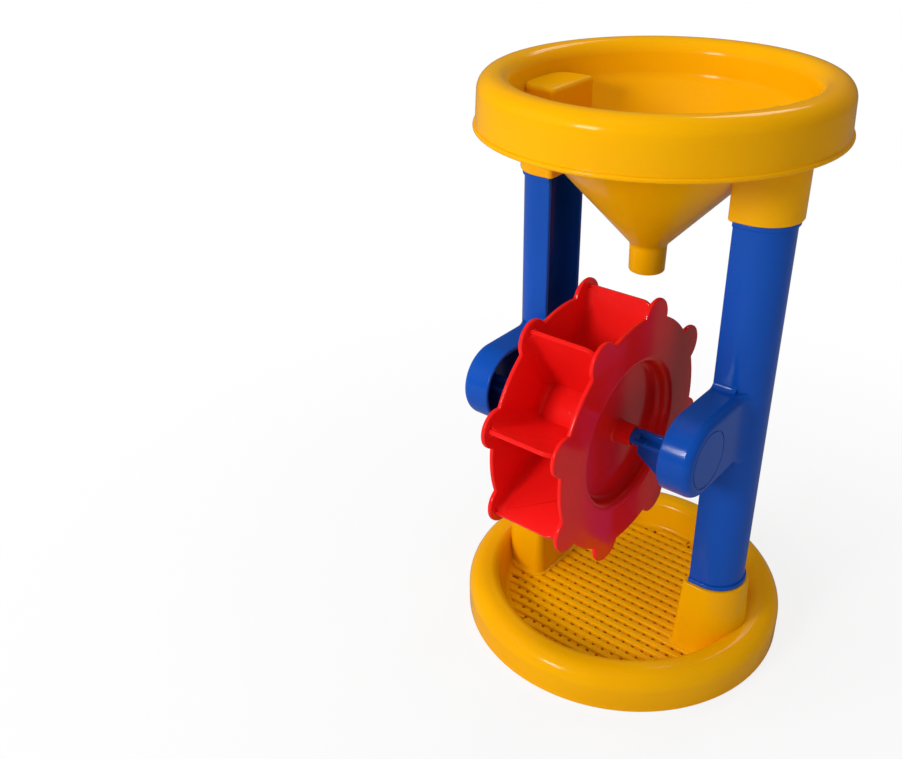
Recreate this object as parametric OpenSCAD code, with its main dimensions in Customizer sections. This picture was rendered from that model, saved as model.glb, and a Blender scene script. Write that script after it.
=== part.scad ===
// Sand wheel toy: a hopper on two columns pours sand over a paddle wheel above a sieve base.
// Millimetres, +Z up. The origin is the middle of the base's underside, the arms reach to -Y
// and the columns stand on the X axis.

/* [Base] */
// Outer radius of the base ring
base_r = 87.7; // [75:0.1:110]
// Height of the base ring
ring_h = 22; // [16:0.5:32]
// Rounding of the ring's outer edge
ring_out_round = 10; // [4:0.5:11]
// Rounding of the ring's inner edge
ring_in_round = 5.5; // [3:0.5:7]
// Width of the ring's flat crown, between its two rounded edges
ring_crown = 0.5; // [0.2:0.1:4]
// Run of the ring's sloping inner wall, measured along the radius
ring_in_run = 5.7; // [2:0.1:8]
// Wall thickness of the base
base_wall = 2.4; // [1.6:0.1:2.8]
// Height of the sockets for the columns
boss_h = 48; // [40:0.5:64]
// Wall of a socket at its top
boss_wall = 2.4; // [1.6:0.1:3.2]
// How far a socket widens from its top down to the floor
boss_flare = 2.6; // [0:0.1:4]
// Depth of a socket
socket_depth = 40; // [25:0.5:42]

/* [Sieve] */
// Height of the sieve plate's upper side
sieve_z = 5; // [3.5:0.1:8]
// Thickness of the sieve plate
sieve_t = 2; // [1.2:0.1:3]
// Distance from one sieve hole to the next
sieve_pitch = 5.9; // [4.5:0.1:10]
// Side of a square sieve hole
sieve_hole = 2.9; // [1.5:0.1:3.8]
// Height of the ridges between the rows of holes
ridge_h = 1.4; // [0.5:0.1:3]
// Plain border around the sieve and the sockets
sieve_border = 2; // [1:0.1:6]

/* [Columns] */
// Distance from the middle to the inner side of each column
column_in = 47.9; // [42:0.1:56]
// Width of a column across its flat sides
column_w = 30.2; // [24:0.1:36]
// Depth of a column from its open side to the crown of its round side
column_depth = 22.6; // [19:0.1:28]
// Wall thickness of a column and its arm
column_wall = 2; // [1.4:0.1:2.8]
// How far the end flanges stand proud of a column
flange_proud = 1; // [0.4:0.1:1.8]
// Height of an end flange
flange_h = 2.5; // [1.5:0.1:5]
// Clearance of a column in its sockets
fit_gap = 0.15; // [0.05:0.01:0.3]

/* [Arms] */
// Distance of the axle in front of the columns' middle plane
arm_reach = 45.1; // [40:0.1:56]
// Radius of an arm's round end
arm_r = 19.5; // [15:0.1:24]
// Thickness of an arm
arm_t = 16.3; // [13:0.1:18]
// Rounding of an arm's outer edge
arm_edge = 4.3; // [2.5:0.1:6]
// How far the axle lies below the middle of an arm's round end
stub_drop = 2.4; // [0:0.1:5]
// Fillet between an arm and its column's front
arm_fillet = 3; // [1:0.1:6]
// Radius of the ring line on an arm's outer face
mark_r = 14.4; // [8:0.1:15]
// Width of the ring line
mark_w = 0.7; // [0.4:0.1:1.2]
// Depth of the ring line
mark_depth = 0.4; // [0.2:0.1:0.8]

/* [Axle stubs] */
// Radius of the journals that carry the wheel
journal_r = 3.9; // [3:0.1:5]
// Length of a journal
journal_len = 18; // [14:0.5:22]
// Half height of a stub's crossed ribs
shank_r = 5; // [4.2:0.1:7]
// Thickness of the ribs and of the gusset under a stub
rib_t = 2.2; // [1.4:0.1:3]
// Depth of the gusset at its tip
gusset_tip = 8; // [6:0.1:11]
// Run of the gusset's slope along the stub
gusset_run = 11; // [6:0.5:16]

/* [Wheel] */
// Number of paddles
paddles = 8; // [6:1:10]
// Radius of the wheel's rim between its ears
wheel_r = 58.4; // [52:0.1:66]
// Width of the wheel over both side discs
wheel_w = 39.9; // [34:0.1:46]
// Sideways play of the wheel between the stubs' shoulders, on each side of the middle
side_play = 8.1; // [5:0.1:8.5]
// How far the wheel stands to the right of the middle
wheel_shift = 3.84; // [-4.5:0.01:4.5]
// Turn of the first paddle from upright, towards the back
wheel_turn = 16; // [0:0.1:45]
// Height of the wheel's lowest ear above the ground
wheel_clear = 77.4; // [66:0.1:100]
// How far an ear stands out from the rim
ear_h = 8.6; // [5:0.1:9]
// Rounding of an ear
ear_round = 9.8; // [9.2:0.1:12]
// Thickness of a side disc
disc_t = 2.2; // [1.6:0.1:3]
// Thickness of a paddle
paddle_t = 2.2; // [1.6:0.1:3]
// How far a paddle's tip stays inside the ears
paddle_inset = 2.9; // [2:0.1:6]
// Rounding of a paddle's free corner
paddle_corner = 7; // [3:0.1:10]
// Radius of the drum that the paddles stand on
drum_r = 26; // [18:0.5:32]
// Wall thickness of the drum
drum_wall = 2; // [1.4:0.1:3]
// Radius of the hub
hub_r = 7.5; // [6:0.1:10]
// Running clearance of the hub on the journals
running_gap = 0.05; // [0.02:0.01:0.1]
// Radius of the side disc's dished middle
dish_r = 35.5; // [30:0.5:42]
// Depth of the dished middle
dish_depth = 7.5; // [4:0.1:11]
// Wall thickness of the dish
dish_wall = 2; // [1.4:0.1:2.2]
// Rounding of the dish's mouth
mouth_round = 2.4; // [1:0.1:2.5]
// How far the hub's face lies below the side disc's face
hub_sink = 1.5; // [0.5:0.1:3]

/* [Hopper] */
// Outer radius of the hopper's rim
hopper_r = 82; // [76:0.5:100]
// Rounding of the rolled rim
rim_round = 7.5; // [5:0.1:9]
// Height of the outer skirt below the rim's top
skirt_h = 24.3; // [18:0.1:30]
// How far the skirt flares out at its lower edge
skirt_flare = 1.5; // [0.5:0.1:4]
// Radius of the bead along the skirt's lower edge
bead_r = 1.3; // [1.1:0.1:2]
// Wall thickness of the hopper
hopper_wall = 2; // [1.4:0.1:2.6]
// Height of the bowl's steep wall below the rim's top
bowl_wall_h = 20.5; // [15:0.1:26]
// Draft of the bowl's steep wall
bowl_draft = 2; // [0.5:0.1:4]
// Fillet between the steep wall and the cone
bowl_fillet = 8; // [3:0.5:10]
// Slope of the cone from the level
cone_angle = 47; // [40:0.5:55]
// Outer radius of the spout at its mouth
spout_r = 8.7; // [7:0.1:12]
// Length of the spout
spout_len = 14; // [8:0.5:24]
// Gap from the turning wheel up to the spout
spout_gap = 7.4; // [3:0.1:12]
// Length of a column sleeve below the skirt
sleeve_show = 30.5; // [20:0.5:36]
// Depth of a sleeve's closed top below the rim's top
bump_drop = 11.5; // [9:0.1:14]
// Rounding of a sleeve's upright edges
sleeve_edge = 2.5; // [1:0.1:3.5]

/* [Hidden] */
$fn = 96;
// Facets of the tapered sockets' round sides
taper_fn = 32;
// Steps of the bowl's fillet
fillet_steps = 8;
// Overrun of every cut past the face that it opens
overrun = 1;
// Height of the slices that a tapered socket is drawn between
slice_h = 0.4;
// Room above and below a column's ends, so that it seats on its flanges
end_gap = 0.5;

// Base
out_round = min(ring_out_round, ring_h / 2);
in_round = min(ring_in_round, ring_h / 2);
ring_in = base_r - out_round - ring_crown - in_round;
floor_r = ring_in - ring_in_run;
ridge_w = sieve_pitch - sieve_hole;
boss_grow = fit_gap + boss_wall;
foot_grow = boss_grow + boss_flare;
sieve_r = floor_r - sieve_border;
hole_span = ceil(sieve_r / sieve_pitch);

// Columns, arms and stubs
column_mid = column_in + column_depth - column_w / 2;
arm_out = column_in + arm_t;
shoulder_x = wheel_w / 2 + side_play;
journal_tip_x = shoulder_x - journal_len;
journal_root = rib_t;
channel_x = column_in - flange_proud - overrun;
column_foot_z = boss_h - socket_depth + end_gap;

// Wheel
ear_r = wheel_r + ear_h;
ear_mid_r = ear_r - ear_round;
paddle_step = 360 / paddles;
paddle_r = ear_r - paddle_inset;
half_w = wheel_w / 2;
disc_in_z = half_w - disc_t;
dish_back_z = half_w - dish_depth - dish_wall;
hub_face_z = half_w - hub_sink;
bore_r = journal_r + running_gap;
axle_z = wheel_clear + ear_r;
arm_z = axle_z + stub_drop;

// Hopper, built upward from the spout's mouth
spout_z = axle_z + spout_gap
    + sqrt(max(0, pow(ear_r, 2) - pow(arm_reach - spout_r, 2)));
cone_z = spout_z + spout_len;
rim_mid_r = hopper_r - rim_round;
bowl_r = hopper_r - 2 * rim_round;
bowl_low_r = bowl_r - bowl_draft;
cone_top_z = cone_z + (bowl_low_r - spout_r) * tan(cone_angle);
cone_lift = hopper_wall / cos(cone_angle);
rim_top_z = cone_top_z + bowl_wall_h;
rim_mid_z = rim_top_z - rim_round;
skirt_z = rim_top_z - skirt_h;
skirt_low_r = hopper_r + skirt_flare;
sleeve_z = skirt_z - sleeve_show;
bump_z = rim_top_z - bump_drop;
sleeve_grow = fit_gap + hopper_wall;
column_top_z = bump_z - hopper_wall - end_gap;

// Outline of a column in plan, grown on every side and with its two inner corners rounded
module d_outline(grow, corner) {
    half = column_w / 2 + grow;
    inner = column_in - grow;
    difference() {
        translate([column_mid, 0])
            circle(half);
        translate([column_mid - half - overrun, -half])
            square([inner + corner - column_mid + half + overrun, 2 * half]);
    }
    translate([inner + corner, -half])
        square([column_mid - inner - corner, 2 * half]);
    translate([inner, corner - half])
        square([column_mid - inner, 2 * (half - corner)]);
    for (side = [-1, 1])
        translate([inner + corner, side * (half - corner)])
            circle(corner);
}

// Block between two radii with rounded top corners, open to below by drop
module ring_block(inset, drop) {
    polygon([
        [ring_in + inset, -drop],
        [base_r - inset, -drop],
        [base_r - inset, ring_h - out_round],
        [base_r - out_round, ring_h - inset],
        [ring_in + in_round, ring_h - inset],
        [ring_in + inset, ring_h - in_round]
    ]);
    translate([ring_in + in_round, ring_h - in_round])
        circle(in_round - inset);
    translate([base_r - out_round, ring_h - out_round])
        circle(out_round - inset);
}

// True where a sieve hole would run into a socket's foot or the border
function hole_blocked(x, y) =
    norm([abs(x) + sieve_hole / 2, abs(y) + sieve_hole / 2]) > sieve_r
    || (abs(x) + sieve_hole / 2 + sieve_border > column_in - foot_grow
        && abs(y) - sieve_hole / 2 - sieve_border < column_w / 2 + foot_grow);

module sieve_plate() {
    translate([0, 0, sieve_z - sieve_t])
        linear_extrude(sieve_t)
            difference() {
                circle(floor_r + base_wall);
                for (i = [-hole_span : hole_span], j = [-hole_span : hole_span])
                    if (!hole_blocked(i * sieve_pitch, j * sieve_pitch))
                        translate([i * sieve_pitch, j * sieve_pitch])
                            square(sieve_hole, center = true);
            }
}

// Ridges along X between the rows of holes
module sieve_ridges() {
    for (j = [-hole_span : hole_span - 1]) {
        y = (j + 1 / 2) * sieve_pitch;
        reach = abs(y) + ridge_w / 2;
        if (reach < sieve_r - sieve_pitch) {
            half_chord = sqrt(pow(sieve_r, 2) - pow(reach, 2));
            translate([-half_chord, y - ridge_w / 2, sieve_z - sieve_t / 2])
                cube([2 * half_chord, ridge_w, ridge_h + sieve_t / 2]);
        }
    }
}

// Tapered socket, solid, for the right column
module boss() {
    hull($fn = taper_fn) {
        translate([0, 0, sieve_z - sieve_t])
            linear_extrude(slice_h)
                d_outline(foot_grow, foot_grow, $fn = taper_fn);
        translate([0, 0, boss_h - slice_h])
            linear_extrude(slice_h)
                d_outline(boss_grow, boss_grow, $fn = taper_fn);
    }
}

module base() {
    color("orange")
        difference() {
            union() {
                rotate_extrude()
                    difference() {
                        ring_block(0, 0);
                        ring_block(base_wall, overrun);
                    }
                rotate_extrude()
                    polygon([
                        [floor_r, sieve_z - sieve_t],
                        [ring_in + base_wall, sieve_z - sieve_t],
                        [ring_in + base_wall, ring_h - in_round],
                        [ring_in, ring_h - in_round],
                        [floor_r, sieve_z]
                    ]);
                sieve_plate();
                sieve_ridges();
                boss();
                mirror([1, 0, 0])
                    boss();
            }
            for (side = [0, 1])
                mirror([side, 0, 0])
                    translate([0, 0, boss_h - socket_depth])
                        linear_extrude(socket_depth + overrun)
                            d_outline(fit_gap, fit_gap);
        }
}

// Half section of an arm about its round end's middle: radius across, thickness up, lengthened below by drop
module arm_half(inset, drop) {
    edge = arm_edge - inset;
    radius = arm_r - inset;
    thick = arm_t - inset;
    translate([0, -drop])
        square([radius, thick - edge + drop]);
    square([radius - edge, thick]);
    translate([radius - edge, thick - edge])
        circle(edge);
}

// Arm as a solid slab with a round end, inset on every side but its open inner one
module arm_body(inset, drop, back_y) {
    translate([column_in, -arm_reach, arm_z]) {
        rotate([0, 90, 0])
            rotate_extrude()
                arm_half(inset, drop);
        for (side = [0, 1])
            mirror([0, 0, side])
                rotate([0, 90, 90])
                    linear_extrude(arm_reach - back_y)
                        mirror([0, 1])
                            arm_half(inset, drop);
    }
}

// Fillets above and below an arm, along the flat of the column's front
module arm_fillets() {
    front = column_w / 2;
    for (side = [-1, 1])
        translate([column_in, -front, arm_z + side * arm_r])
            rotate([90, 0, 90])
                linear_extrude(column_mid - column_in)
                    difference() {
                        translate([-arm_fillet, side > 0 ? 0 : -arm_fillet])
                            square(arm_fillet);
                        translate([-arm_fillet, side * arm_fillet])
                            circle(arm_fillet);
                    }
}

// Stub that carries the wheel: a round journal, crossed ribs and a gusset below them
module axle_stub() {
    root_x = arm_out - column_wall / 2;
    root_z = stub_drop + column_wall / 2 - arm_r;
    translate([0, -arm_reach, axle_z]) {
        translate([journal_tip_x, 0, 0])
            rotate([0, 90, 0])
                cylinder(r = journal_r, h = journal_len + journal_root);
        translate([shoulder_x, -shank_r, -rib_t / 2])
            cube([root_x - shoulder_x, 2 * shank_r, rib_t]);
        translate([0, rib_t / 2, 0])
            rotate([90, 0, 0])
                linear_extrude(rib_t)
                    polygon([
                        [shoulder_x, shank_r],
                        [shoulder_x, -gusset_tip],
                        [shoulder_x + gusset_run, root_z],
                        [root_x - arm_edge, root_z],
                        [root_x, root_z + arm_edge],
                        [root_x, shank_r]
                    ]);
    }
}

// Right column with its arm and stub, open towards the middle
module column() {
    difference() {
        union() {
            translate([0, 0, column_foot_z])
                linear_extrude(column_top_z - column_foot_z)
                    d_outline(0, column_wall / 2);
            for (z = [boss_h, sleeve_z - flange_h])
                translate([0, 0, z])
                    linear_extrude(flange_h)
                        d_outline(flange_proud, flange_proud);
            arm_body(0, 0, 0);
            arm_fillets();
        }
        translate([0, 0, column_foot_z + column_wall])
            linear_extrude(column_top_z - column_foot_z - 2 * column_wall) {
                translate([column_mid, 0])
                    circle(column_w / 2 - column_wall);
                translate([channel_x, column_wall - column_w / 2])
                    square([column_mid - channel_x, column_w - 2 * column_wall]);
            }
        arm_body(column_wall, overrun, column_w / 2);
        translate([arm_out - mark_depth, -arm_reach, arm_z])
            rotate([0, 90, 0])
                difference() {
                    cylinder(r = mark_r, h = mark_depth + overrun);
                    cylinder(r = mark_r - mark_w, h = mark_depth + overrun);
                }
    }
    axle_stub();
}

module right_column() {
    color("royalblue")
        column();
}

module left_column() {
    color("royalblue")
        mirror([1, 0, 0])
            column();
}

// Place of the wheel: its own axis runs along X, to the right
module wheel_place() {
    translate([wheel_shift, -arm_reach, axle_z])
        rotate([0, 90, 0])
            rotate([0, 0, 180 - wheel_turn])
                children();
}

// Outline of a side disc: a round rim with an ear at each paddle
module disc_outline() {
    circle(wheel_r);
    for (k = [0 : paddles - 1])
        rotate(k * paddle_step)
            translate([ear_mid_r, 0])
                circle(ear_round);
}

// One paddle: radius across, wheel axis up, with its free outer corner rounded
module paddle_outline() {
    root_r = drum_r - drum_wall / 2;
    step_r = dish_r + dish_wall + fit_gap;
    low_z = disc_t / 2 - half_w;
    translate([root_r, low_z])
        square([paddle_r - root_r, dish_back_z - low_z - paddle_corner]);
    translate([root_r, low_z])
        square([step_r - root_r, dish_back_z - fit_gap - low_z]);
    translate([step_r, low_z])
        square([paddle_r - paddle_corner - step_r, disc_in_z - low_z]);
    translate([step_r, low_z])
        square([paddle_r - step_r, disc_in_z - low_z - paddle_corner]);
    translate([paddle_r - paddle_corner, disc_in_z - paddle_corner])
        circle(paddle_corner);
}

module wheel_drum() {
    color("red")
        wheel_place()
            difference() {
                union() {
                    difference() {
                        union() {
                            translate([0, 0, -half_w])
                                linear_extrude(disc_t)
                                    disc_outline();
                            translate([0, 0, -half_w])
                                cylinder(r = drum_r, h = half_w + dish_back_z);
                        }
                        translate([0, 0, -half_w - overrun])
                            cylinder(
                                r = drum_r - drum_wall,
                                h = half_w + dish_back_z - drum_wall + overrun
                            );
                    }
                    translate([0, 0, hub_sink - half_w])
                        cylinder(r = hub_r, h = half_w + dish_back_z - hub_sink);
                    for (k = [0 : paddles - 1])
                        rotate([90, 0, k * paddle_step])
                            translate([0, 0, -paddle_t / 2])
                                linear_extrude(paddle_t)
                                    paddle_outline();
                }
                translate([0, 0, -half_w - overrun])
                    cylinder(r = bore_r, h = wheel_w + 2 * overrun);
            }
}

// Section of the dished middle and hub: radius across, wheel axis up
module dish_section() {
    mouth_r = dish_r + mouth_round;
    translate([bore_r, dish_back_z])
        square([dish_r + dish_wall - bore_r, dish_wall]);
    translate([bore_r, dish_back_z])
        square([hub_r - bore_r, hub_face_z - dish_back_z]);
    translate([dish_r, dish_back_z])
        square([dish_wall, half_w - mouth_round - dish_back_z]);
    difference() {
        translate([dish_r, half_w - mouth_round])
            square([2 * mouth_round, mouth_round]);
        difference() {
            translate([dish_r - overrun, half_w - mouth_round])
                square([mouth_round + overrun, mouth_round + overrun]);
            translate([mouth_r, half_w - mouth_round])
                circle(mouth_round);
        }
    }
}

module wheel_side_disc() {
    color("red")
        wheel_place() {
            translate([0, 0, disc_in_z])
                linear_extrude(disc_t)
                    difference() {
                        disc_outline();
                        circle(dish_r + mouth_round);
                    }
            rotate_extrude()
                dish_section();
        }
}

// Section of the hopper's shell: radius across, height up
module hopper_section() {
    outer_low_r = bowl_low_r + hopper_wall;
    spout_in_r = spout_r - hopper_wall;
    difference() {
        translate([rim_mid_r, rim_mid_z])
            circle(rim_round);
        translate([rim_mid_r, rim_mid_z])
            circle(rim_round - hopper_wall);
        translate([rim_mid_r - rim_round - overrun, rim_mid_z - rim_round - overrun])
            square([2 * (rim_round + overrun), rim_round + overrun]);
    }
    polygon([
        [hopper_r - hopper_wall, rim_mid_z],
        [hopper_r, rim_mid_z],
        [skirt_low_r, skirt_z],
        [skirt_low_r - hopper_wall, skirt_z]
    ]);
    translate([skirt_low_r - bead_r / 2, skirt_z + bead_r])
        circle(bead_r);
    polygon(concat(
        [
            [bowl_r, rim_mid_z],
            [bowl_r + hopper_wall, rim_mid_z],
            [outer_low_r, cone_top_z],
            [spout_r, cone_z],
            [spout_r, spout_z],
            [spout_in_r, spout_z],
            [spout_in_r, cone_z + cone_lift - hopper_wall * tan(cone_angle)]
        ],
        bowl_fillet_line()
    ));
}

// Round fillet from the cone up to the bowl's steep wall, drawn in short steps
function bowl_fillet_line() =
    let (
        corner = [bowl_low_r, cone_top_z + cone_lift],
        wall_tilt = atan2(bowl_draft, rim_mid_z - corner[1]),
        half_turn = (90 + cone_angle + wall_tilt) / 2,
        way = half_turn + 90 - wall_tilt,
        middle = corner + bowl_fillet / sin(half_turn) * [cos(way), sin(way)],
        swing = 90 - cone_angle - wall_tilt
    )
    [
        for (k = [0 : fillet_steps])
            let (turn = cone_angle - 90 + swing * k / fillet_steps)
                middle + bowl_fillet * [cos(turn), sin(turn)]
    ];

module hopper() {
    color("orange")
        difference() {
            union() {
                rotate_extrude()
                    hopper_section();
                for (side = [0, 1])
                    mirror([side, 0, 0])
                        translate([0, 0, sleeve_z])
                            linear_extrude(bump_z - sleeve_z)
                                d_outline(sleeve_grow, sleeve_edge);
            }
            for (side = [0, 1])
                mirror([side, 0, 0])
                    translate([0, 0, sleeve_z - overrun])
                        linear_extrude(bump_z - hopper_wall - sleeve_z + overrun)
                            d_outline(fit_gap, fit_gap);
        }
}

base();
left_column();
right_column();
hopper();
wheel_drum();
wheel_side_disc();
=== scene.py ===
import math

import bmesh
import bpy
from mathutils import Matrix, Vector


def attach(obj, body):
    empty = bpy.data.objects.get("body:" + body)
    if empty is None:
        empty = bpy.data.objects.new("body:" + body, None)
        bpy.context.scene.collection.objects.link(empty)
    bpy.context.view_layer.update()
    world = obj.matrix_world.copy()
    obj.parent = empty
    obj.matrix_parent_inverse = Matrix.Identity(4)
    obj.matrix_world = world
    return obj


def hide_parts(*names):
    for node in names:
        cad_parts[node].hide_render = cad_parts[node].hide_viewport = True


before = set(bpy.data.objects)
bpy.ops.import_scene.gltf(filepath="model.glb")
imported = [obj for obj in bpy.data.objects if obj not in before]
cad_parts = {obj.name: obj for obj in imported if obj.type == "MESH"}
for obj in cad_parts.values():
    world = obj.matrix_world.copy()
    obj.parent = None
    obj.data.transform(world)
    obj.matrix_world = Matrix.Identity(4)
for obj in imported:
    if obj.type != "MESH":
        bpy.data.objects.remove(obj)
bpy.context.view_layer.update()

# The toy's own sizes are in millimetres, in the frame of the solids: +Z up, front towards -Y
MM = 0.001
WELD = 1e-6
ARC_STEP = 7.5
ARC_SLACK = 0.01
SHARP_ANGLE = math.radians(38)

# Camera that was fitted to the photograph
CAMERA_AZIMUTH = 40.54
CAMERA_ELEVATION = 29.47
CAMERA_ROLL = -1.2
CAMERA_DISTANCE = 525.71
CAMERA_AIM_SIDE = -96.12
CAMERA_AIM_HEIGHT = 148.47
CAMERA_LENS = 40.75
CAMERA_SENSOR = 36
CAMERA_NEAR = 0.01
CAMERA_FAR = 50

# Level of the white room's light, and how bright the room shows in gloss
ROOM_LIGHT = 0.31
ROOM_MIRRORED = 0.1

# Lamps: place and size in metres, power in watts, and whether the lamp shows in the gloss
SOFTBOXES = {
    "window_softbox": ((-1.1, -0.9, 0.75), 0.9, 6, False),
    "top_softbox": ((-0.2, -0.4, 1.6), 0.8, 6, False),
    "front_softbox": ((-0.3, -1.3, 0.75), 0.3, 10, True),
    "back_softbox": ((-0.1, 0.9, 1.2), 0.4, 3, True),
    "right_softbox": ((1.3, -0.3, 0.6), 0.8, 1.5, False),
}

# Floor: half its width, its colour to the eye and in gloss, and where, in metres, it turns white
FLOOR_HALF = 3000
PAPER = (0.78, 0.78, 0.78, 1)
PAPER_MIRRORED = (0.3, 0.3, 0.3, 1)
WHITE_NEAR = 0.82
WHITE_FROM = 0.1
WHITE_FULL = 0.4

# Base
BASE_R = 87.7
RING_H = 22
RING_OUT_ROUND = 10
RING_IN_ROUND = 5.6
RING_IN_R = 71.7
RING_WALL = 2.4
RING_EDGE = 0.5
RING_FOOT_EDGE = 0.7
FLOOR_R = 66.3
FLOOR_BLEND = 3
LEDGE_LAP = 0.6
LEDGE_EDGE = 0.4
SIEVE_R = 64
SIEVE_Z = 5
SIEVE_T = 2
SIEVE_PITCH = 5.9
SIEVE_BAR = 3.4
CROSS_BAR = 4.5
SIEVE_BAR_H = 3
SIEVE_BAR_LAP = 0.4
SIEVE_ROWS = 22
SIEVE_EDGE = 0.7
SIEVE_BORDER = 2
RIDGE_H = 1.4
CELL_LAP = 0.1
CELL_SINK = 0.05
BOSS_H = 48
BOSS_WALL = 2.4
BOSS_FLARE = 2.6
BOSS_EDGE = 1.1
BOSS_MOUTH_EDGE = 0.3
BOSS_FOOT = 1.4
SOCKET_Z = 12

# Outline of a socket's foot: how far out from the socket's wall, and how far above the ridges
BOSS_FOOT_LINE = [(BOSS_FOOT, 0), (0.9, 0.5), (0.4, 0.6), (-0.1, 1.4)]

# Columns, arms and stub axles
FIT_GAP = 0.15
LEAST_CORNER = 0.3
LIP_STEPS = 8
FILLET_STEPS = 6
COLUMN_IN = 47.9
COLUMN_R = 15.1
COLUMN_MID = 55.4
COLUMN_OUT = COLUMN_MID + COLUMN_R
COLUMN_WALL = 2
COLUMN_LIP = 0.8
COLUMN_FOOT_Z = SOCKET_Z
COLUMN_TOP_Z = 287
FLANGE_PROUD = 1
FLANGE_H = 2.5
FLANGE_EDGE = 0.5
AXLE_Y = -45.1
AXLE_Z = 144.4
STUB_DROP = 2.4
ARM_Z = AXLE_Z + STUB_DROP
ARM_R = 19.5
ARM_OUT = 64.2
ARM_EDGE = 4.3
ARM_HALF_STEPS = 48
ARM_CLOSING_R = 0.4
ARM_BLEND = 16
BLEND_ROOT = 12
BLEND_SINK = 0.8
BLEND_SHORT = 0.1
BLEND_LEVELS = 24
BLEND_STEPS = 12
ARM_FILLET = 3
ARM_FILLET_SINK = 0.8
ARM_FILLET_START = 0.3
ARM_FILLET_RINGS = 12
MARK_R = 14.4
MARK_W = 0.7
MARK_DEPTH = 0.4
MARK_SLOPE = 0.15
JOURNAL_R = 3.9
JOURNAL_TIP = 10
JOURNAL_ROOT = 30
JOURNAL_EDGE = 0.8
JOURNAL_SEGMENTS = 48
SHOULDER = 28
SHANK_R = 5
RIB_T = 2.2
RIB_EDGE = 0.4
RIB_CORNER = 0.6
GUSSET_TIP = 8
GUSSET_RUN = 11
GUSSET_CORNER = 1
GUSSET_BEND = 2

# Wheel
PADDLES = 8
PADDLE_STEP = 360 / PADDLES
WHEEL_X = 3.84
WHEEL_TURN = 16
WHEEL_R = 58.4
WHEEL_SEGMENTS = 576
HALF_W = 19.95
EAR_ROUND = 9.8
EAR_MID = 57.2
DISC_T = 2.2
DISC_EDGE = 0.8
DRUM_R = 26
DRUM_WALL = 2
DRUM_FILLET = 3
DRUM_EDGE = 0.6
DRUM_LAP = 8
RECESS_BLEND = 1.5
RECESS_EDGE = 0.8
BORE_R = 3.95
BORE_EDGE = 0.4
HUB_R = 7.5
HUB_EDGE = 0.8
HUB_BLEND = 1.2
HUB_SINK = 1.5
DISH_R = 35.5
DISH_DEPTH = 7.5
DISH_WALL = 2
DISH_FILLET = 3
DISH_LAP = 7
DISH_BACK_BLEND = 1
DISH_BACK_EDGE = 0.8
MOUTH_ROUND = 3.6
HUB_FLARE = 1.2
HUB_PROUD = 1.8
HUB_END_R = 5.1
HUB_END_EDGE = 0.5
HUB_END_TAPER = 0.4
HUB_MOUTH_EDGE = 0.3
PADDLE_T = 2.2
PADDLE_R = 64.1
PADDLE_CORNER = 7
PADDLE_INNER_CORNER = 0.3
PADDLE_EDGE = 0.5
PADDLE_LAP = 1
PADDLE_PLAY = 0.2
PADDLE_SHORT = 0.1
PADDLE_FILLET = 4
PADDLE_FILLET_SHORT = 1.5
PADDLE_FILLET_SINK = 0.6
PADDLE_FILLET_ROOT = 0.4

# Hopper
RIM_TOP = 302.9
RIM_ROUND = 7.5
HOPPER_R = 82
HOPPER_WALL = 2
BOWL_R = HOPPER_R - 2 * RIM_ROUND
BOWL_LOW_R = 65
BOWL_LOW_Z = 285.4
BOWL_FILLET = 8
SKIRT_Z = 278.6
SKIRT_LOW_R = 83.3
SKIRT_EDGE = 0.6
BEAD_R = 84.1
BEAD_H = 2.4
BEAD_STEP = 0.3
BEAD_BLEND = 0.4
SPOUT_R = 8.7
SPOUT_BORE = 7.1
SPOUT_Z = 208
SPOUT_EDGE = 0.7
SPOUT_DRAFT = 0.3
SPOUT_BLEND = 4
CONE_Z = 222
SLEEVE_Z = 248.1
BUMP_Z = 291.4
BUMP_EDGE = 2.5
LATHE_SEGMENTS = 192


class Shape:
    """Points in millimetres and faces, put together ring by ring."""

    def __init__(self):
        self.points = []
        self.faces = []

    def ring(self, points):
        first = len(self.points)
        self.points.extend(points)
        return list(range(first, len(self.points)))

    def bridge(self, low, high, closed):
        for i in range(len(low) if closed else len(low) - 1):
            j = (i + 1) % len(low)
            self.faces.append((low[i], low[j], high[j], high[i]))

    def loft(self, rings, closed=True, joined=False, caps=False):
        """Skins a row of rings; joined closes the row on itself, caps closes its two ends."""
        made = [self.ring(points) for points in rings]
        for low, high in zip(made, made[1:]):
            self.bridge(low, high, closed)
        if joined:
            self.bridge(made[-1], made[0], closed)
        if caps:
            self.faces.append(tuple(reversed(made[0])))
            self.faces.append(tuple(made[-1]))
        return made

    def lathe(self, line, segments=LATHE_SEGMENTS):
        """Turns a closed line of (radius, height) points about Z."""
        turns = [2 * math.pi * k / segments for k in range(segments)]
        self.loft([[(r * math.cos(a), r * math.sin(a), z) for a in turns] for r, z in line], joined=True)

    def mesh(self, name):
        """A welded mesh in metres whose faces point outwards, smooth but for its sharp edges."""
        mesh = bpy.data.meshes.new(name)
        mesh.from_pydata([Vector(p) * MM for p in self.points], [], self.faces)
        work = bmesh.new()
        work.from_mesh(mesh)
        bmesh.ops.remove_doubles(work, verts=work.verts, dist=WELD)
        bmesh.ops.dissolve_degenerate(work, edges=work.edges, dist=WELD)
        bmesh.ops.recalc_face_normals(work, faces=work.faces)
        work.to_mesh(mesh)
        work.free()
        return smoothed(mesh)


def smoothed(mesh):
    mesh.shade_smooth()
    mesh.set_sharp_from_angle(angle=SHARP_ANGLE)
    return mesh


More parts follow.
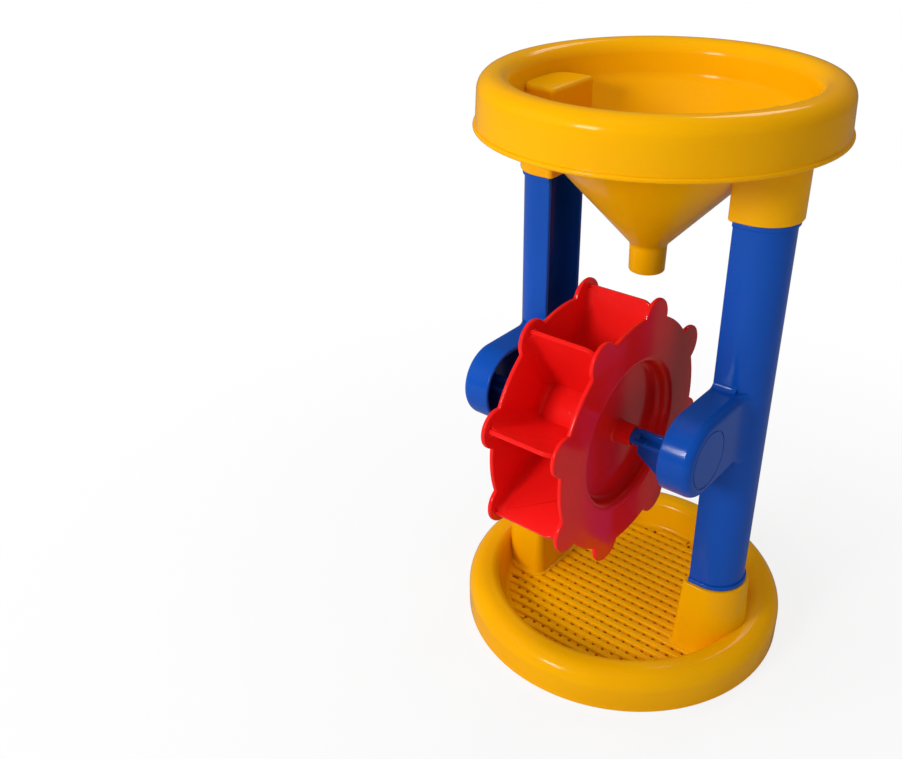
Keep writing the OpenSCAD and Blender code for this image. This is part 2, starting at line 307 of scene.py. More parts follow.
def rounded_line(corners, closed=True):
    """Corner points with their radii, as a line of points with each corner drawn as an arc."""
    line = []
    for i, (x, y, radius) in enumerate(corners):
        here = Vector((x, y))
        if not radius:
            line.append(here)
            continue
        before = (Vector(corners[i - 1][:2]) - here).normalized()
        after = (Vector(corners[(i + 1) % len(corners)][:2]) - here).normalized()
        half = math.acos(max(-1, min(1, before.dot(after)))) / 2
        touch = radius / math.tan(half)
        middle = here + (before + after).normalized() * (radius / math.sin(half))
        start = here + before * touch - middle
        end = here + after * touch - middle
        swing = math.atan2(start.cross(end), start.dot(end))
        steps = max(2, math.ceil(math.degrees(abs(swing)) / ARC_STEP - ARC_SLACK))
        for k in range(steps + 1):
            line.append(middle + Matrix.Rotation(swing * k / steps, 2) @ start)
    pairs = zip(line, line[-1:] + line[:-1])
    return [tuple(p) for k, (p, last) in enumerate(pairs)
            if (p - last).length > WELD / MM or (not closed and k == 0)]


def inset_line(line, amount):
    """A closed line moved inwards by an amount."""
    area = sum(ax * by - bx * ay for (ax, ay), (bx, by) in zip(line, line[1:] + line[:1]))
    side = math.copysign(amount, area)
    moved = []
    for i, (x, y) in enumerate(line):
        ax, ay = line[i - 1]
        bx, by = line[(i + 1) % len(line)]
        first = Vector((ay - y, x - ax)).normalized()
        second = Vector((y - by, bx - x)).normalized()
        push = (first + second) * (side / (1 + first.dot(second)))
        moved.append((x + push.x, y + push.y))
    return moved


def quarter(radius, steps=5):
    """Inset and rise along a quarter round, from an upright side to a level face."""
    turns = [math.pi / 2 * k / steps for k in range(steps + 1)]
    return [(radius * (1 - math.cos(a)), radius * math.sin(a)) for a in turns]


def plate(shape, corners, thickness, edge, place):
    """Flat plate with softened edges. Its outline has corner radii, and place puts (u, v, t) on the toy."""
    line = rounded_line(corners)
    level = thickness / 2 - edge
    steps = quarter(edge, steps=3)
    layers = [(inset, -level - rise) for inset, rise in reversed(steps)]
    layers += [(inset, level + rise) for inset, rise in steps]
    shape.loft([[place(u, v, t) for u, v in inset_line(line, inset)] for inset, t in layers], caps=True)


def d_ring(side, grow, corner, z):
    """Outline of a column in plan, grown on every side, with rounded inner corners."""
    half = COLUMN_R + grow
    inner = COLUMN_IN - grow
    outer = COLUMN_MID + half
    line = rounded_line([
        (inner, -half, corner), (outer, -half, half), (outer, half, half), (inner, half, corner),
    ])
    return [(side * x, y, z) for x, y in line]


# Node trees


class Value:
    """A node's output that takes part in sums: each operator adds a Math node."""

    def __init__(self, nodes, socket):
        self.nodes = nodes
        self.socket = socket

    def __add__(self, other):
        return self.nodes.math("ADD", self, other)

    __radd__ = __add__

    def __sub__(self, other):
        return self.nodes.math("SUBTRACT", self, other)

    def __rsub__(self, other):
        return self.nodes.math("SUBTRACT", other, self)

    def __mul__(self, other):
        return self.nodes.math("MULTIPLY", self, other)

    __rmul__ = __mul__

    def __rtruediv__(self, other):
        return self.nodes.math("DIVIDE", other, self)

    def __abs__(self):
        return self.nodes.math("ABSOLUTE", self)


class Nodes:
    """Builds one node tree. A node's settings are set first, then its sockets' values or links."""

    def __init__(self, tree):
        self.tree = tree

    def add(self, kind, settings=None, sockets=None):
        node = self.tree.nodes.new(kind)
        for name, value in (settings or {}).items():
            setattr(node, name, value)
        for name, value in (sockets or {}).items():
            value = value.socket if isinstance(value, Value) else value
            if isinstance(value, bpy.types.NodeSocket):
                self.tree.links.new(value, node.inputs[name])
            else:
                node.inputs[name].default_value = value
        return node

    def value(self, kind, settings=None, sockets=None, output=0):
        return Value(self, self.add(kind, settings, sockets).outputs[output])

    def math(self, operation, *terms):
        return self.value("ShaderNodeMath", {"operation": operation}, dict(enumerate(terms)))

    def vector(self, **parts):
        return self.value("ShaderNodeCombineXYZ", None, {k.upper(): v for k, v in parts.items()})


def geometry_tree(name, inputs):
    """An empty Geometry Nodes tree with one shape to repeat and named inputs for its sizes."""
    tree = bpy.data.node_groups.new(name, "GeometryNodeTree")
    tree.interface.new_socket("Geometry", in_out="OUTPUT", socket_type="NodeSocketGeometry")
    tree.interface.new_socket("Shape", in_out="INPUT", socket_type="NodeSocketGeometry")
    for label, kind in inputs.items():
        tree.interface.new_socket(label, in_out="INPUT", socket_type=kind)
    return tree


def end_tree(nodes, spread, given):
    solid = nodes.value("GeometryNodeRealizeInstances", None, {"Geometry": spread})
    finish = {"Geometry": solid, "Material": given["Material"]}
    shown = nodes.value("GeometryNodeSetMaterial", None, finish)
    nodes.add("NodeGroupOutput", None, {"Geometry": shown})


def bar_rows_tree():
    """Repeats a bar on even rows, each stretched to the width of the round floor there."""
    tree = geometry_tree("sieve_bar_rows", {
        "Rows": "NodeSocketInt", "Pitch": "NodeSocketFloat", "Floor radius": "NodeSocketFloat",
        "Bar width": "NodeSocketFloat", "Height": "NodeSocketFloat", "Turn": "NodeSocketFloat",
        "Material": "NodeSocketMaterial",
    })
    nodes = Nodes(tree)
    given = nodes.add("NodeGroupInput").outputs
    rows, pitch, radius, width, height, turn = (
        Value(nodes, given[label])
        for label in ("Rows", "Pitch", "Floor radius", "Bar width", "Height", "Turn")
    )
    start = nodes.vector(y=(1 - rows) * pitch * 0.5, z=height)
    line = {"Count": rows, "Start Location": start, "Offset": nodes.vector(y=pitch)}
    points = nodes.value("GeometryNodeMeshLine", {"mode": "OFFSET"}, line)
    place = nodes.value("GeometryNodeInputPosition")
    across = nodes.value("ShaderNodeSeparateXYZ", None, {"Vector": place}, "Y")
    reach = abs(across) + width * 0.5
    length = 2 * nodes.math("SQRT", radius * radius - reach * reach)
    bars = {"Points": points, "Instance": given["Shape"], "Scale": nodes.vector(x=length, y=1, z=1)}
    spread = nodes.value("GeometryNodeInstanceOnPoints", None, bars)
    turned = {"Geometry": spread, "Rotation": nodes.vector(z=turn)}
    end_tree(nodes, nodes.value("GeometryNodeTransform", None, turned), given)
    return tree


def paddle_ring_tree():
    """Repeats an upright paddle round the axle."""
    tree = geometry_tree("paddle_ring", {
        "Paddles": "NodeSocketInt", "First turn": "NodeSocketFloat", "Axle": "NodeSocketVector",
        "Material": "NodeSocketMaterial",
    })
    nodes = Nodes(tree)
    given = nodes.add("NodeGroupInput").outputs
    count = Value(nodes, given["Paddles"])
    index = nodes.value("GeometryNodeInputIndex")
    turn = index * (2 * math.pi / count) - Value(nodes, given["First turn"])
    points = nodes.value("GeometryNodePoints", None, {"Count": count})
    ring = {"Points": points, "Instance": given["Shape"], "Rotation": nodes.vector(x=turn)}
    spread = nodes.value("GeometryNodeInstanceOnPoints", None, ring)
    placed = {"Geometry": spread, "Translation": given["Axle"]}
    end_tree(nodes, nodes.value("GeometryNodeTransform", None, placed), given)
    return tree


def repeated(name, shape, tree, values):
    """The mesh that a tree makes of a shape, as a plain mesh."""
    obj = bpy.data.objects.new(name, shape.mesh(name))
    bpy.context.scene.collection.objects.link(obj)
    modifier = obj.modifiers.new(tree.name, "NODES")
    modifier.node_group = tree
    for item in tree.interface.items_tree:
        if item.in_out == "INPUT" and item.name in values:
            modifier[item.identifier] = values[item.name]
    bpy.context.view_layer.update()
    graph = bpy.context.evaluated_depsgraph_get()
    mesh = bpy.data.meshes.new_from_object(obj.evaluated_get(graph))
    obj.modifiers.remove(modifier)
    bpy.data.meshes.remove(obj.data)
    mesh.name = name
    return smoothed(mesh)


# Finishes


def moulded_plastic(name, colour, deep, roughness, shine):
    """Glossy moulded plastic: uneven pigment, soft waves left by the mould, fine grain and light scuffs."""
    material = bpy.data.materials.new(name)
    material.use_nodes = True
    material.node_tree.nodes.clear()
    nodes = Nodes(material.node_tree)
    place = nodes.add("ShaderNodeTexCoord").outputs["Object"]

    def noise(scale, detail, vector=place):
        return nodes.value("ShaderNodeTexNoise", None, {"Vector": vector, "Scale": scale, "Detail": detail})

    def share(value, low, high):
        limits = {"Value": value, "From Min": low, "From Max": high}
        return nodes.value("ShaderNodeMapRange", None, limits)

    flow = noise(scale=11, detail=3)
    waves = noise(scale=38, detail=1)
    grain = noise(scale=1400, detail=2)
    long_way = nodes.add("ShaderNodeMapping", None, {"Vector": place, "Scale": (1, 0.16, 0.5)}).outputs[0]
    scratches = share(noise(scale=420, detail=2, vector=long_way), low=0.66, high=0.74)
    worn = share(noise(scale=26, detail=2), low=0.5, high=0.62)
    scuffs = scratches * worn
    pigment = share(flow, low=0.3, high=0.7)
    tint = nodes.value("ShaderNodeMix", {"data_type": "RGBA"}, {0: pigment, 6: deep, 7: colour}, 2)
    gloss = roughness + 0.07 * (flow - 0.5) + 0.12 * scuffs
    relief = {"Strength": 0.3, "Distance": 0.0003, "Height": waves + 0.03 * grain}
    bump = nodes.value("ShaderNodeBump", None, relief)
    skin = nodes.add("ShaderNodeBsdfPrincipled", None, {
        "Base Color": tint, "Roughness": gloss, "Normal": bump, "IOR": 1.5, "Specular IOR Level": shine,
    })
    nodes.add("ShaderNodeOutputMaterial", None, {"Surface": skin.outputs[0]})
    return material


def pale_floor():
    """White floor that stays white to the camera and keeps a soft shadow."""
    material = bpy.data.materials.new("pale_floor")
    material.use_nodes = True
    material.node_tree.nodes.clear()
    nodes = Nodes(material.node_tree)
    paper = nodes.add("ShaderNodeBsdfDiffuse", None, {"Color": PAPER}).outputs[0]
    glow = nodes.add("ShaderNodeEmission", None, {"Color": (1, 1, 1, 1), "Strength": 1}).outputs[0]
    dim = nodes.add("ShaderNodeBsdfDiffuse", None, {"Color": PAPER_MIRRORED}).outputs[0]
    place = nodes.add("ShaderNodeTexCoord").outputs["Object"]
    away = nodes.value("ShaderNodeVectorMath", {"operation": "LENGTH"}, {0: place}, "Value")
    outside = nodes.math("GREATER_THAN", away, (BASE_R - RING_WALL) * MM)
    reach = {
        "Value": away, "From Min": WHITE_FROM, "From Max": WHITE_FULL, "To Min": WHITE_NEAR, "To Max": 1,
    }
    clear = nodes.value("ShaderNodeMapRange", None, reach, "Result")
    path = nodes.add("ShaderNodeLightPath").outputs
    seen, mirrored = Value(nodes, path["Is Camera Ray"]), Value(nodes, path["Is Glossy Ray"])
    sheet = nodes.add("ShaderNodeMixShader", None, {0: mirrored, 1: paper, 2: dim}).outputs[0]
    mixed = nodes.add("ShaderNodeMixShader", None, {0: seen * outside * clear, 1: sheet, 2: glow})
    nodes.add("ShaderNodeOutputMaterial", None, {"Surface": mixed.outputs[0]})
    return material


YELLOW = moulded_plastic(
    "yellow_plastic",
    colour=(0.88, 0.42, 0.0005, 1), deep=(0.83, 0.36, 0.0005, 1), roughness=0.14, shine=0.12,
)
BLUE = moulded_plastic(
    "blue_plastic",
    colour=(0.004, 0.077, 0.45, 1), deep=(0.003, 0.064, 0.38, 1), roughness=0.16, shine=0.26,
)
RED = moulded_plastic(
    "red_plastic",
    colour=(0.90, 0.014, 0.012, 1), deep=(0.80, 0.008, 0.007, 1), roughness=0.14, shine=0.28,
)


# Mouldings


def hopper_moulding():
    shape = Shape()
    wall = HOPPER_WALL
    shape.lathe(rounded_line([
        (SPOUT_BORE, SPOUT_Z, SPOUT_EDGE),
        (SPOUT_R, SPOUT_Z, SPOUT_EDGE),
        (SPOUT_R + SPOUT_DRAFT, CONE_Z, SPOUT_BLEND),
        (BOWL_LOW_R + wall, BOWL_LOW_Z - wall / 2, BOWL_FILLET),
        (BOWL_R + wall, RIM_TOP - wall, RIM_ROUND - wall),
        (HOPPER_R - wall, RIM_TOP - wall, RIM_ROUND - wall),
        (SKIRT_LOW_R - wall, SKIRT_Z, SKIRT_EDGE),
        (BEAD_R, SKIRT_Z, BEAD_H / 2),
        (BEAD_R, SKIRT_Z + BEAD_H, BEAD_H / 2),
        (SKIRT_LOW_R - BEAD_STEP, SKIRT_Z + BEAD_H, BEAD_BLEND),
        (HOPPER_R, RIM_TOP, RIM_ROUND),
        (BOWL_R, RIM_TOP, RIM_ROUND),
        (BOWL_LOW_R, BOWL_LOW_Z, BOWL_FILLET),
        (SPOUT_BORE, CONE_Z + wall / 2, SPOUT_BLEND),
    ]))
    for side in (-1, 1):
        hopper_sleeve(shape, side)
    return shape.mesh("hopper_moulding")


def hopper_sleeve(shape, side):
    """Sleeve that takes a column's top. Its closed upper end stands in the bowl as a bump."""
    outer = FIT_GAP + HOPPER_WALL
    lip = HOPPER_WALL / 2
    layers = [(FIT_GAP, BUMP_Z - HOPPER_WALL), (FIT_GAP, SLEEVE_Z + lip)]
    for k in range(1, LIP_STEPS):
        turn = math.pi * k / LIP_STEPS
        layers.append((FIT_GAP + lip - lip * math.cos(turn), SLEEVE_Z + lip - lip * math.sin(turn)))
    layers.append((outer, SLEEVE_Z + lip))
    layers += [(outer - inset, BUMP_Z - BUMP_EDGE + rise) for inset, rise in quarter(BUMP_EDGE)]
    shape.loft([d_ring(side, grow, max(grow, LEAST_CORNER), z) for grow, z in layers], caps=True)


def base_moulding():
    shape = Shape()
    low_in = RING_IN_R + RING_WALL
    shape.lathe(rounded_line([
        (BASE_R, 0, RING_FOOT_EDGE),
        (BASE_R, RING_H, RING_OUT_ROUND),
        (RING_IN_R, RING_H, RING_IN_ROUND),
        (FLOOR_R, SIEVE_Z, FLOOR_BLEND),
        (SIEVE_R - LEDGE_LAP, SIEVE_Z, LEDGE_EDGE),
        (SIEVE_R - LEDGE_LAP, SIEVE_Z - SIEVE_T, LEDGE_EDGE),
        (RING_IN_R, SIEVE_Z - SIEVE_T, LEDGE_EDGE),
        (RING_IN_R, 0, RING_EDGE),
        (low_in, 0, RING_EDGE),
        (low_in, RING_H - RING_WALL, RING_IN_ROUND - RING_WALL),
        (BASE_R - RING_WALL, RING_H - RING_WALL, RING_OUT_ROUND - RING_WALL),
        (BASE_R - RING_WALL, 0, RING_EDGE),
    ]))
    for side in (-1, 1):
        base_socket(shape, side)
    closed_sieve_cells(shape)
    return shape.mesh("base_moulding")


def base_socket(shape, side):
    """Tapered socket for a column, with a small foot on the floor and a softened mouth."""
    mouth = FIT_GAP + BOSS_WALL
    foot = mouth + BOSS_FLARE
    low = SIEVE_Z - SIEVE_T
    step = SIEVE_Z + RIDGE_H
    layers = [(foot + BOSS_FOOT, low)]
    layers += [(foot + out, step + rise) for out, rise in BOSS_FOOT_LINE]
    layers += [(mouth - inset, BOSS_H - BOSS_EDGE + rise) for inset, rise in quarter(BOSS_EDGE)]
    layers += [(FIT_GAP + BOSS_MOUTH_EDGE, BOSS_H), (FIT_GAP, BOSS_H - BOSS_MOUTH_EDGE)]
    layers.append((FIT_GAP, SOCKET_Z))
    shape.loft([d_ring(side, grow, max(grow, LEAST_CORNER), z) for grow, z in layers], caps=True)


def sieve_cell_is_open(x, y):
    """Whether a whole sieve hole fits here, clear of the border and of the sockets' feet."""
    hole = SIEVE_PITCH - SIEVE_BAR
    foot = FIT_GAP + BOSS_WALL + BOSS_FLARE + SIEVE_BORDER + hole / 2
    in_floor = math.hypot(abs(x) + hole / 2, abs(y) + hole / 2) < SIEVE_R
    in_socket = abs(x) > COLUMN_IN - foot and abs(y) < COLUMN_R + foot
    return in_floor and not in_socket


def closed_sieve_cells(shape):
    """Fills the cells of the sieve that have no hole."""
    half = (SIEVE_PITCH - SIEVE_BAR) / 2 + CELL_LAP
    span = SIEVE_ROWS // 2
    corners = [(-half, -half), (half, -half), (half, half), (-half, half)]
    for i in range(-span, span + 1):
        for j in range(-span, span + 1):
            x, y = i * SIEVE_PITCH, j * SIEVE_PITCH
            if math.hypot(x, y) < SIEVE_R + half and not sieve_cell_is_open(x, y):
                levels = (SIEVE_Z - SIEVE_T, SIEVE_Z - CELL_SINK)
                shape.loft([[(x + u, y + v, z) for u, v in corners] for z in levels], caps=True)


def sieve_bars(name, width, top, turn):
    """Rows of bars across the floor. The ridges run along X, the lower bars cross under them."""
    side, half = width / 2, SIEVE_BAR_H / 2
    corners = [(-side, -half), (side, -half), (side, half), (-side, half)]
    section = rounded_line([(u, v, SIEVE_EDGE) for u, v in corners])
    shape = Shape()
    shape.loft([[(x / MM, u, v) for u, v in section] for x in (-0.5, 0.5)], caps=True)
    return repeated(name, shape, bar_rows_tree(), {
        "Rows": SIEVE_ROWS, "Pitch": SIEVE_PITCH * MM, "Floor radius": (SIEVE_R + SIEVE_BAR_LAP) * MM,
        "Bar width": width * MM, "Height": (top - half) * MM, "Turn": turn, "Material": YELLOW,
    })


def column_moulding(side):
    """Half-round channel with its arm, ribs and stub axle, open towards the middle."""
    shape = Shape()
    section = channel_line(0)
    shape.loft([[(side * x, y, z) for x, y in section] for z in (COLUMN_FOOT_Z, COLUMN_TOP_Z)], caps=True)
    for low in (BOSS_H, SLEEVE_Z - FLANGE_H):
        column_flange(shape, side, low)
    arm_shell(shape, side)
    arm_blend(shape, side)
    for up in (-1, 1):
        arm_front_fillet(shape, side, up)
    stub_axle(shape, side)
    return shape.mesh("right_column_moulding" if side > 0 else "left_column_moulding")


def channel_line(proud):
    """Section of a column in plan: an open channel, its outer side standing proud by an amount."""
    half = COLUMN_R + proud
    bore = COLUMN_R - COLUMN_WALL
    return rounded_line([
        (COLUMN_IN, -half, COLUMN_LIP),
        (COLUMN_OUT + proud, -half, half),
        (COLUMN_OUT + proud, half, half),
        (COLUMN_IN, half, COLUMN_LIP),
        (COLUMN_IN, bore, COLUMN_LIP),
        (COLUMN_MID + bore, bore, bore),
        (COLUMN_MID + bore, -bore, bore),
        (COLUMN_IN, -bore, COLUMN_LIP),
    ])


def column_flange(shape, side, low):
    edge = FLANGE_EDGE
    layers = [(edge - rise, low + inset) for inset, rise in quarter(edge, steps=3)]
    layers += [(inset, low + FLANGE_H - edge + rise) for inset, rise in quarter(edge, steps=3)]
    rings = []
    for inset, z in layers:
        rings.append([(side * x, y, z) for x, y in channel_line(FLANGE_PROUD - inset)])
    shape.loft(rings, caps=True)


def arm_shell(shape, side):
    """Arm as a hollow shell with a round end, straight back into the column's wall."""
    wall = COLUMN_WALL
    inner_edge = ARM_EDGE - wall
    inner_r = ARM_R - wall
    lip = wall / 2
    line = [(ARM_OUT - wall, ARM_CLOSING_R)]
    line += [(ARM_OUT - wall - inset, inner_r - inner_edge + rise) for inset, rise in quarter(inner_edge)]
    for k in range(LIP_STEPS + 1):
        turn = math.pi * k / LIP_STEPS
        line.append((COLUMN_IN + lip - lip * math.sin(turn), ARM_R - lip - lip * math.cos(turn)))
    line += [(ARM_OUT - ARM_EDGE + rise, ARM_R - inset) for inset, rise in quarter(ARM_EDGE, steps=8)]
    made = shape.loft([arm_ring(side, x, radius) for x, radius in line], closed=False)
    root = arm_face(shape, side, made[-1])
    shape.faces.append(tuple(made[0]))
    shape.faces.append(tuple([ring[0] for ring in made] + root + [ring[-1] for ring in reversed(made)]))


def arm_face(shape, side, rim):
    """Flat outer face of an arm inside its rim, with the ring line round the middle of its end."""
    half = ARM_HALF_STEPS
    low = MARK_R - MARK_W
    bottom = ARM_OUT - MARK_DEPTH
    groove = [
        (ARM_OUT, MARK_R), (bottom, MARK_R - MARK_SLOPE), (bottom, low + MARK_SLOPE), (ARM_OUT, low),
    ]
    turns = [math.pi / 2 + math.pi * k / half for k in range(2 * half)]
    rings = shape.loft([
        [(side * x, AXLE_Y + r * math.cos(a), ARM_Z + r * math.sin(a)) for a in turns] for x, r in groove
    ])
    mark = rings[0] + rings[0][:1]
    shape.faces.append(tuple(rings[-1]))
    shape.bridge(rim[1:-1], mark[:half + 1], closed=False)
    end_x, end_y, _ = shape.points[rim[0]]
    reach = ARM_R - ARM_EDGE
    heights = [ARM_Z - reach * math.cos(math.pi * k / half) for k in range(1, half)]
    root = shape.ring([(end_x, end_y, z) for z in heights])
    shape.bridge(mark[half:], rim[-1:] + root + rim[:1], closed=False)
    shape.faces.append((rim[0], rim[1], mark[0]))
    shape.faces.append((rim[-1], rim[-2], mark[half]))
    return root[::-1]


def arm_ring(side, x, radius):
    """One line round an arm, from inside the column's wall, round the free end and back."""
    end = -math.sqrt((COLUMN_R - COLUMN_WALL / 2) ** 2 - max(x - COLUMN_MID, 0) ** 2)
    turns = [math.pi / 2 + math.pi * k / ARM_HALF_STEPS for k in range(ARM_HALF_STEPS + 1)]
    line = [(end, radius)]
    line += [(AXLE_Y + radius * math.cos(a), radius * math.sin(a)) for a in turns]
    line.append((end, -radius))
    return [(side * x, y, ARM_Z + z) for y, z in line]


def arm_blend(shape, side):
    """Hollow blend that leads an arm's outer face into its column's round side."""
    rings = []
    for k in range(BLEND_LEVELS + 1):
        z = (ARM_R - BLEND_SHORT) * (2 * k / BLEND_LEVELS - 1)
        over = max(abs(z) - ARM_R + ARM_EDGE, 0)
        face = ARM_OUT - ARM_EDGE + math.sqrt(ARM_EDGE ** 2 - over ** 2)
        x = face + ARM_BLEND - COLUMN_MID
        y = -math.sqrt((COLUMN_R + ARM_BLEND) ** 2 - x ** 2)
        last = math.atan2(-y, -x)
        line = [(face - BLEND_SINK, -BLEND_ROOT)]
        for step in range(BLEND_STEPS + 1):
            turn = math.pi + (last - math.pi) * step / BLEND_STEPS
            line.append((COLUMN_MID + x + ARM_BLEND * math.cos(turn), y + ARM_BLEND * math.sin(turn)))
        rings.append([(side * u, v, ARM_Z + z) for u, v in line])
    shape.loft(rings, caps=True)


def arm_front_fillet(shape, side, up):
    """Small fillet above or below an arm, along its column's front."""
    rings = []
    first = COLUMN_IN + ARM_FILLET_START
    for k in range(ARM_FILLET_RINGS + 1):
        x = first + (ARM_OUT - ARM_EDGE - first) * k / ARM_FILLET_RINGS
        front = -math.sqrt(COLUMN_R ** 2 - max(x - COLUMN_MID, 0) ** 2)
        line = [(front + ARM_FILLET_SINK, ARM_R - ARM_FILLET_SINK)]
        for step in range(FILLET_STEPS + 1):
            turn = -math.pi / 2 * step / FILLET_STEPS
            line.append((front - ARM_FILLET + ARM_FILLET * math.cos(turn),
                         ARM_R + ARM_FILLET + ARM_FILLET * math.sin(turn)))
        rings.append([(side * x, y, ARM_Z + up * z) for y, z in line])
    shape.loft(rings, caps=True)


def stub_axle(shape, side):
    """Round journal on crossed ribs, with a gusset below that runs down to the arm's wall."""
    turns = [2 * math.pi * k / JOURNAL_SEGMENTS for k in range(JOURNAL_SEGMENTS)]
    line = [
        (JOURNAL_TIP, JOURNAL_R - JOURNAL_EDGE),
        (JOURNAL_TIP + JOURNAL_EDGE, JOURNAL_R),
        (JOURNAL_ROOT, JOURNAL_R),
    ]
    shape.loft([
        [(side * x, AXLE_Y + r * math.cos(a), AXLE_Z + r * math.sin(a)) for a in turns] for x, r in line
    ], caps=True)
    root = ARM_OUT - COLUMN_WALL / 2
    low = STUB_DROP + COLUMN_WALL / 2 - ARM_R
    plate(shape, [
        (SHOULDER, -SHANK_R, RIB_CORNER),
        (root, -SHANK_R, 0),
        (root, SHANK_R, 0),
        (SHOULDER, SHANK_R, RIB_CORNER),
    ], RIB_T, RIB_EDGE, lambda u, v, t: (side * u, AXLE_Y + v, AXLE_Z + t))
    plate(shape, [
        (SHOULDER, SHANK_R, RIB_CORNER),
        (SHOULDER, -GUSSET_TIP, GUSSET_CORNER),
        (SHOULDER + GUSSET_RUN, low, GUSSET_BEND),
        (root - ARM_EDGE, low, 0),
        (root, low + ARM_EDGE, 0),
        (root, SHANK_R, 0),
    ], RIB_T, RIB_EDGE, lambda u, v, t: (side * u, AXLE_Y + t, AXLE_Z + v))


def rim_radius(turn):
    """Radius of a side disc's edge at an angle from upright towards the back, in degrees."""
    off = math.radians((turn - WHEEL_TURN + PADDLE_STEP / 2) % PADDLE_STEP - PADDLE_STEP / 2)
    ear = EAR_ROUND ** 2 - (EAR_MID * math.sin(off)) ** 2
    return max(WHEEL_R, EAR_MID * math.cos(off) + math.sqrt(ear)) if ear > 0 else WHEEL_R


RIM = [rim_radius(360 * k / WHEEL_SEGMENTS) for k in range(WHEEL_SEGMENTS)]


def wheel_ring(x, radii):
    """One line round the wheel at a place along its axle."""
    line = []
    for k, radius in enumerate(radii):
        turn = 2 * math.pi * k / WHEEL_SEGMENTS
        line.append((WHEEL_X + x, AXLE_Y + radius * math.sin(turn), AXLE_Z + radius * math.cos(turn)))
    return line


def wheel_half(name, corners, face, back):
    """A side disc and its turned middle. Corners is the middle's section, face and back the disc's sides."""
    rings = [wheel_ring(x, [r] * WHEEL_SEGMENTS) for r, x in rounded_line(corners, closed=False)]
    way = math.copysign(1, back - face)
    edge = quarter(DISC_EDGE, steps=4)
    layers = [(inset, face + way * (DISC_EDGE - rise)) for inset, rise in reversed(edge)]
    layers += [(inset, back - way * (DISC_EDGE - rise)) for inset, rise in edge]
    rings += [wheel_ring(x, [r - inset for r in RIM]) for inset, x in layers]
    shape = Shape()
    shape.loft(rings, joined=True)
    return shape.mesh(name)


def wheel_drum_moulding():
    web = HALF_W - DISH_DEPTH - DISH_WALL
    inside = DISC_T - HALF_W
    return wheel_half("wheel_drum_moulding", [
        (DRUM_R + DRUM_LAP, inside, 0),
        (DRUM_R, inside, DRUM_FILLET),
        (DRUM_R, web, DRUM_EDGE),
        (BORE_R, web, BORE_EDGE),
        (BORE_R, HUB_SINK - HALF_W, BORE_EDGE),
        (HUB_R, HUB_SINK - HALF_W, HUB_EDGE),
        (HUB_R, web - DRUM_WALL, HUB_BLEND),
        (DRUM_R - DRUM_WALL, web - DRUM_WALL, RECESS_BLEND),
        (DRUM_R - DRUM_WALL, -HALF_W, RECESS_EDGE),
        (DRUM_R + DRUM_LAP, -HALF_W, 0),
    ], -HALF_W, inside)


def wheel_side_disc_moulding():
    floor = HALF_W - DISH_DEPTH
    inside = HALF_W - DISC_T
    return wheel_half("wheel_side_disc_moulding", [
        (DISH_R + DISH_LAP, inside, 0),
        (DISH_R + DISH_WALL, inside, DISH_BACK_BLEND),
        (DISH_R + DISH_WALL, floor - DISH_WALL, DISH_BACK_EDGE),
        (BORE_R, floor - DISH_WALL, BORE_EDGE),
        (BORE_R, HALF_W + HUB_PROUD, HUB_MOUTH_EDGE),
        (HUB_END_R, HALF_W + HUB_PROUD, HUB_END_EDGE),
        (HUB_END_R + HUB_END_TAPER, floor, HUB_FLARE),
        (DISH_R, floor, DISH_FILLET),
        (DISH_R, HALF_W, MOUTH_ROUND),
        (DISH_R + DISH_LAP, HALF_W, 0),
    ], HALF_W, inside)


def paddle_shape():
    """One upright paddle: a plate with a rounded free corner and fillets along the left disc."""
    shape = Shape()
    disc = DISC_T - HALF_W
    step = DISH_R + DISH_WALL + PADDLE_PLAY
    web = HALF_W - DISH_DEPTH - DISH_WALL
    free = HALF_W - DISC_T
    plate(shape, [
        (DRUM_R - PADDLE_LAP, disc - PADDLE_LAP, 0),
        (PADDLE_R, disc - PADDLE_LAP, 0),
        (PADDLE_R, free, PADDLE_CORNER),
        (step, free, PADDLE_INNER_CORNER),
        (step, web - PADDLE_SHORT, PADDLE_INNER_CORNER),
        (DRUM_R - PADDLE_LAP, web - PADDLE_SHORT, 0),
    ], PADDLE_T, PADDLE_EDGE, lambda u, v, t: (v, t, u))
    for hand in (-1, 1):
        line = [(PADDLE_FILLET_ROOT, disc - PADDLE_FILLET_SINK)]
        for k in range(FILLET_STEPS + 1):
            turn = math.pi + math.pi / 2 * k / FILLET_STEPS
            line.append((PADDLE_T / 2 + PADDLE_FILLET + PADDLE_FILLET * math.cos(turn),
                         disc + PADDLE_FILLET + PADDLE_FILLET * math.sin(turn)))
        ends = (DRUM_R, PADDLE_R - PADDLE_FILLET_SHORT)
        shape.loft([[(v, hand * t, r) for t, v in line] for r in ends], caps=True)
    return shape


def paddle_mesh():
    return repeated("wheel_paddles", paddle_shape(), paddle_ring_tree(), {
        "Paddles": PADDLES, "First turn": math.radians(WHEEL_TURN),
        "Axle": tuple(Vector((WHEEL_X, AXLE_Y, AXLE_Z)) * MM), "Material": RED,
    })


def add_piece(mesh, material, body, node=None):
    """Puts a finished mesh on its body, with even shading and its finish."""
    obj = bpy.data.objects.new(mesh.name, mesh)
    bpy.context.scene.collection.objects.link(obj)
    mesh.materials.clear()
    mesh.materials.append(material)
    obj.modifiers.new("even_shading", "WEIGHTED_NORMAL").keep_sharp = True
    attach(obj, body)
    if node:
        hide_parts(node)
    return obj


# Stage


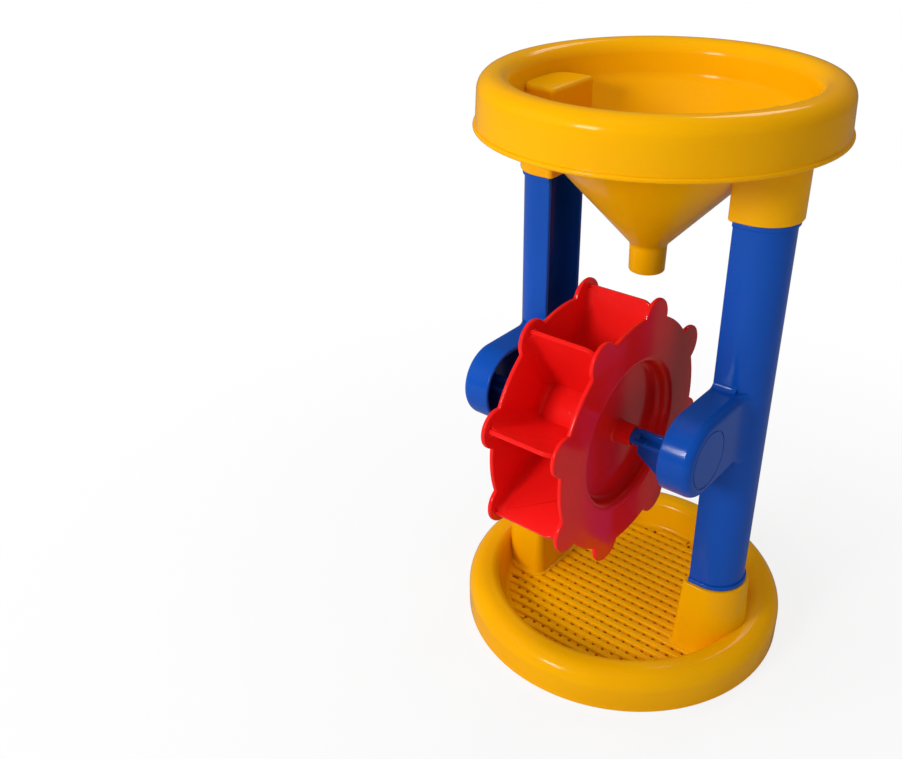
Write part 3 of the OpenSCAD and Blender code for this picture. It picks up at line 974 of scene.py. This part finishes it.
def make_camera():
    azimuth, elevation, roll = (
        math.radians(angle) for angle in (CAMERA_AZIMUTH, CAMERA_ELEVATION, CAMERA_ROLL)
    )
    level = math.cos(elevation)
    back = Vector((math.sin(azimuth) * level, -math.cos(azimuth) * level, math.sin(elevation)))
    right = Vector((math.cos(azimuth), math.sin(azimuth), 0))
    up = back.cross(right)
    aim = Vector((0, 0, CAMERA_AIM_HEIGHT)) + CAMERA_AIM_SIDE * right
    turned = Matrix((
        math.cos(roll) * right + math.sin(roll) * up,
        math.cos(roll) * up - math.sin(roll) * right,
        back,
    )).transposed()
    data = bpy.data.cameras.new("photo_camera")
    data.sensor_width = CAMERA_SENSOR
    data.lens = CAMERA_LENS
    data.clip_start = CAMERA_NEAR
    data.clip_end = CAMERA_FAR
    camera = bpy.data.objects.new("photo_camera", data)
    camera.matrix_world = Matrix.Translation((aim + CAMERA_DISTANCE * back) * MM) @ turned.to_4x4()
    bpy.context.scene.collection.objects.link(camera)
    bpy.context.scene.camera = camera


def make_floor():
    shape = Shape()
    half = FLOOR_HALF
    corners = [(-half, -half, 0), (half, -half, 0), (half, half, 0), (-half, half, 0)]
    shape.faces.append(tuple(shape.ring(corners)))
    floor = bpy.data.objects.new("floor", shape.mesh("floor"))
    floor.data.materials.append(pale_floor())
    bpy.context.scene.collection.objects.link(floor)


def softbox(name, place, size, power, mirrored):
    """Square area lamp that faces the middle of the toy. Only a mirrored one shows in the gloss."""
    data = bpy.data.lights.new(name, "AREA")
    data.size = size
    data.energy = power
    lamp = bpy.data.objects.new(name, data)
    aim = Vector((0, 0, AXLE_Z * MM)) - Vector(place)
    lamp.matrix_world = Matrix.Translation(place) @ aim.to_track_quat("-Z", "Y").to_matrix().to_4x4()
    lamp.visible_glossy = mirrored
    bpy.context.scene.collection.objects.link(lamp)


def make_light():
    for name, settings in SOFTBOXES.items():
        softbox(name, *settings)
    world = bpy.data.worlds.new("white_room")
    bpy.context.scene.world = world
    world.use_nodes = True
    world.node_tree.nodes.clear()
    nodes = Nodes(world.node_tree)
    path = nodes.add("ShaderNodeLightPath").outputs
    seen = Value(nodes, path["Is Camera Ray"])
    mirrored = Value(nodes, path["Is Glossy Ray"])
    strength = ROOM_LIGHT + (1 - ROOM_LIGHT) * seen + (ROOM_MIRRORED - ROOM_LIGHT) * mirrored
    background = nodes.add("ShaderNodeBackground", None, {"Color": (1, 1, 1, 1), "Strength": strength})
    nodes.add("ShaderNodeOutputWorld", None, {"Surface": background.outputs[0]})
    bpy.context.scene.view_settings.view_transform = "Standard"


make_camera()
make_floor()
make_light()

add_piece(base_moulding(), YELLOW, "frame", "base")
ridges = sieve_bars("sieve_ridges", SIEVE_BAR, SIEVE_Z + RIDGE_H, turn=0)
add_piece(ridges, YELLOW, "frame")
cross_bars = sieve_bars("sieve_cross_bars", CROSS_BAR, SIEVE_Z, turn=math.pi / 2)
add_piece(cross_bars, YELLOW, "frame")
add_piece(hopper_moulding(), YELLOW, "frame", "hopper")
add_piece(column_moulding(-1), BLUE, "frame", "left_column")
add_piece(column_moulding(1), BLUE, "frame", "right_column")
add_piece(wheel_drum_moulding(), RED, "wheel", "wheel_drum")
add_piece(paddle_mesh(), RED, "wheel")
add_piece(wheel_side_disc_moulding(), RED, "wheel", "wheel_side_disc")
